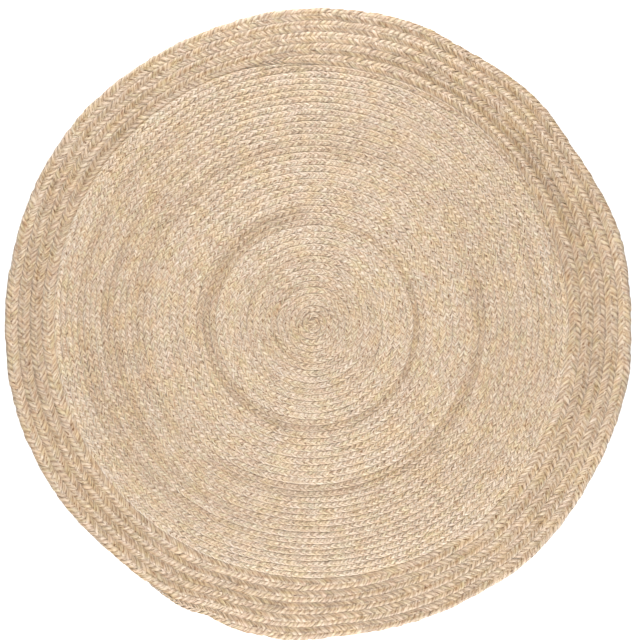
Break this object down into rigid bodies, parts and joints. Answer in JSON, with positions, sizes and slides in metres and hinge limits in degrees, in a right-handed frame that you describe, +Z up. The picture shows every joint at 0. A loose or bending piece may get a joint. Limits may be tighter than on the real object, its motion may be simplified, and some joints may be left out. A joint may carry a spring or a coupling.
{
  "type": "round braided jute rug",
  "caption": "Flat round floor rug of coiled jute plait, with a narrow-plait field and a wide-plait border, that lies on a floor",
  "frame": {"origin": "middle of the rug's underside, at the middle of its box", "axes": "+Z up through the rug's thickness; +X to the right and +Y to the top of the view from straight above"},
  "size_m": [1.498, 1.5112, 0.01],
  "materials": {
    "field_jute": "pale straw jute yarn in a narrow flat plait, matt, with tan and brown stretches",
    "border_jute": "tan jute yarn in a wide flat plait, matt, with pale strands"
  },
  "bodies": {
    "root": {"field_coil": "field_jute", "border_coil": "border_jute"}
  },
  "joints": []
}
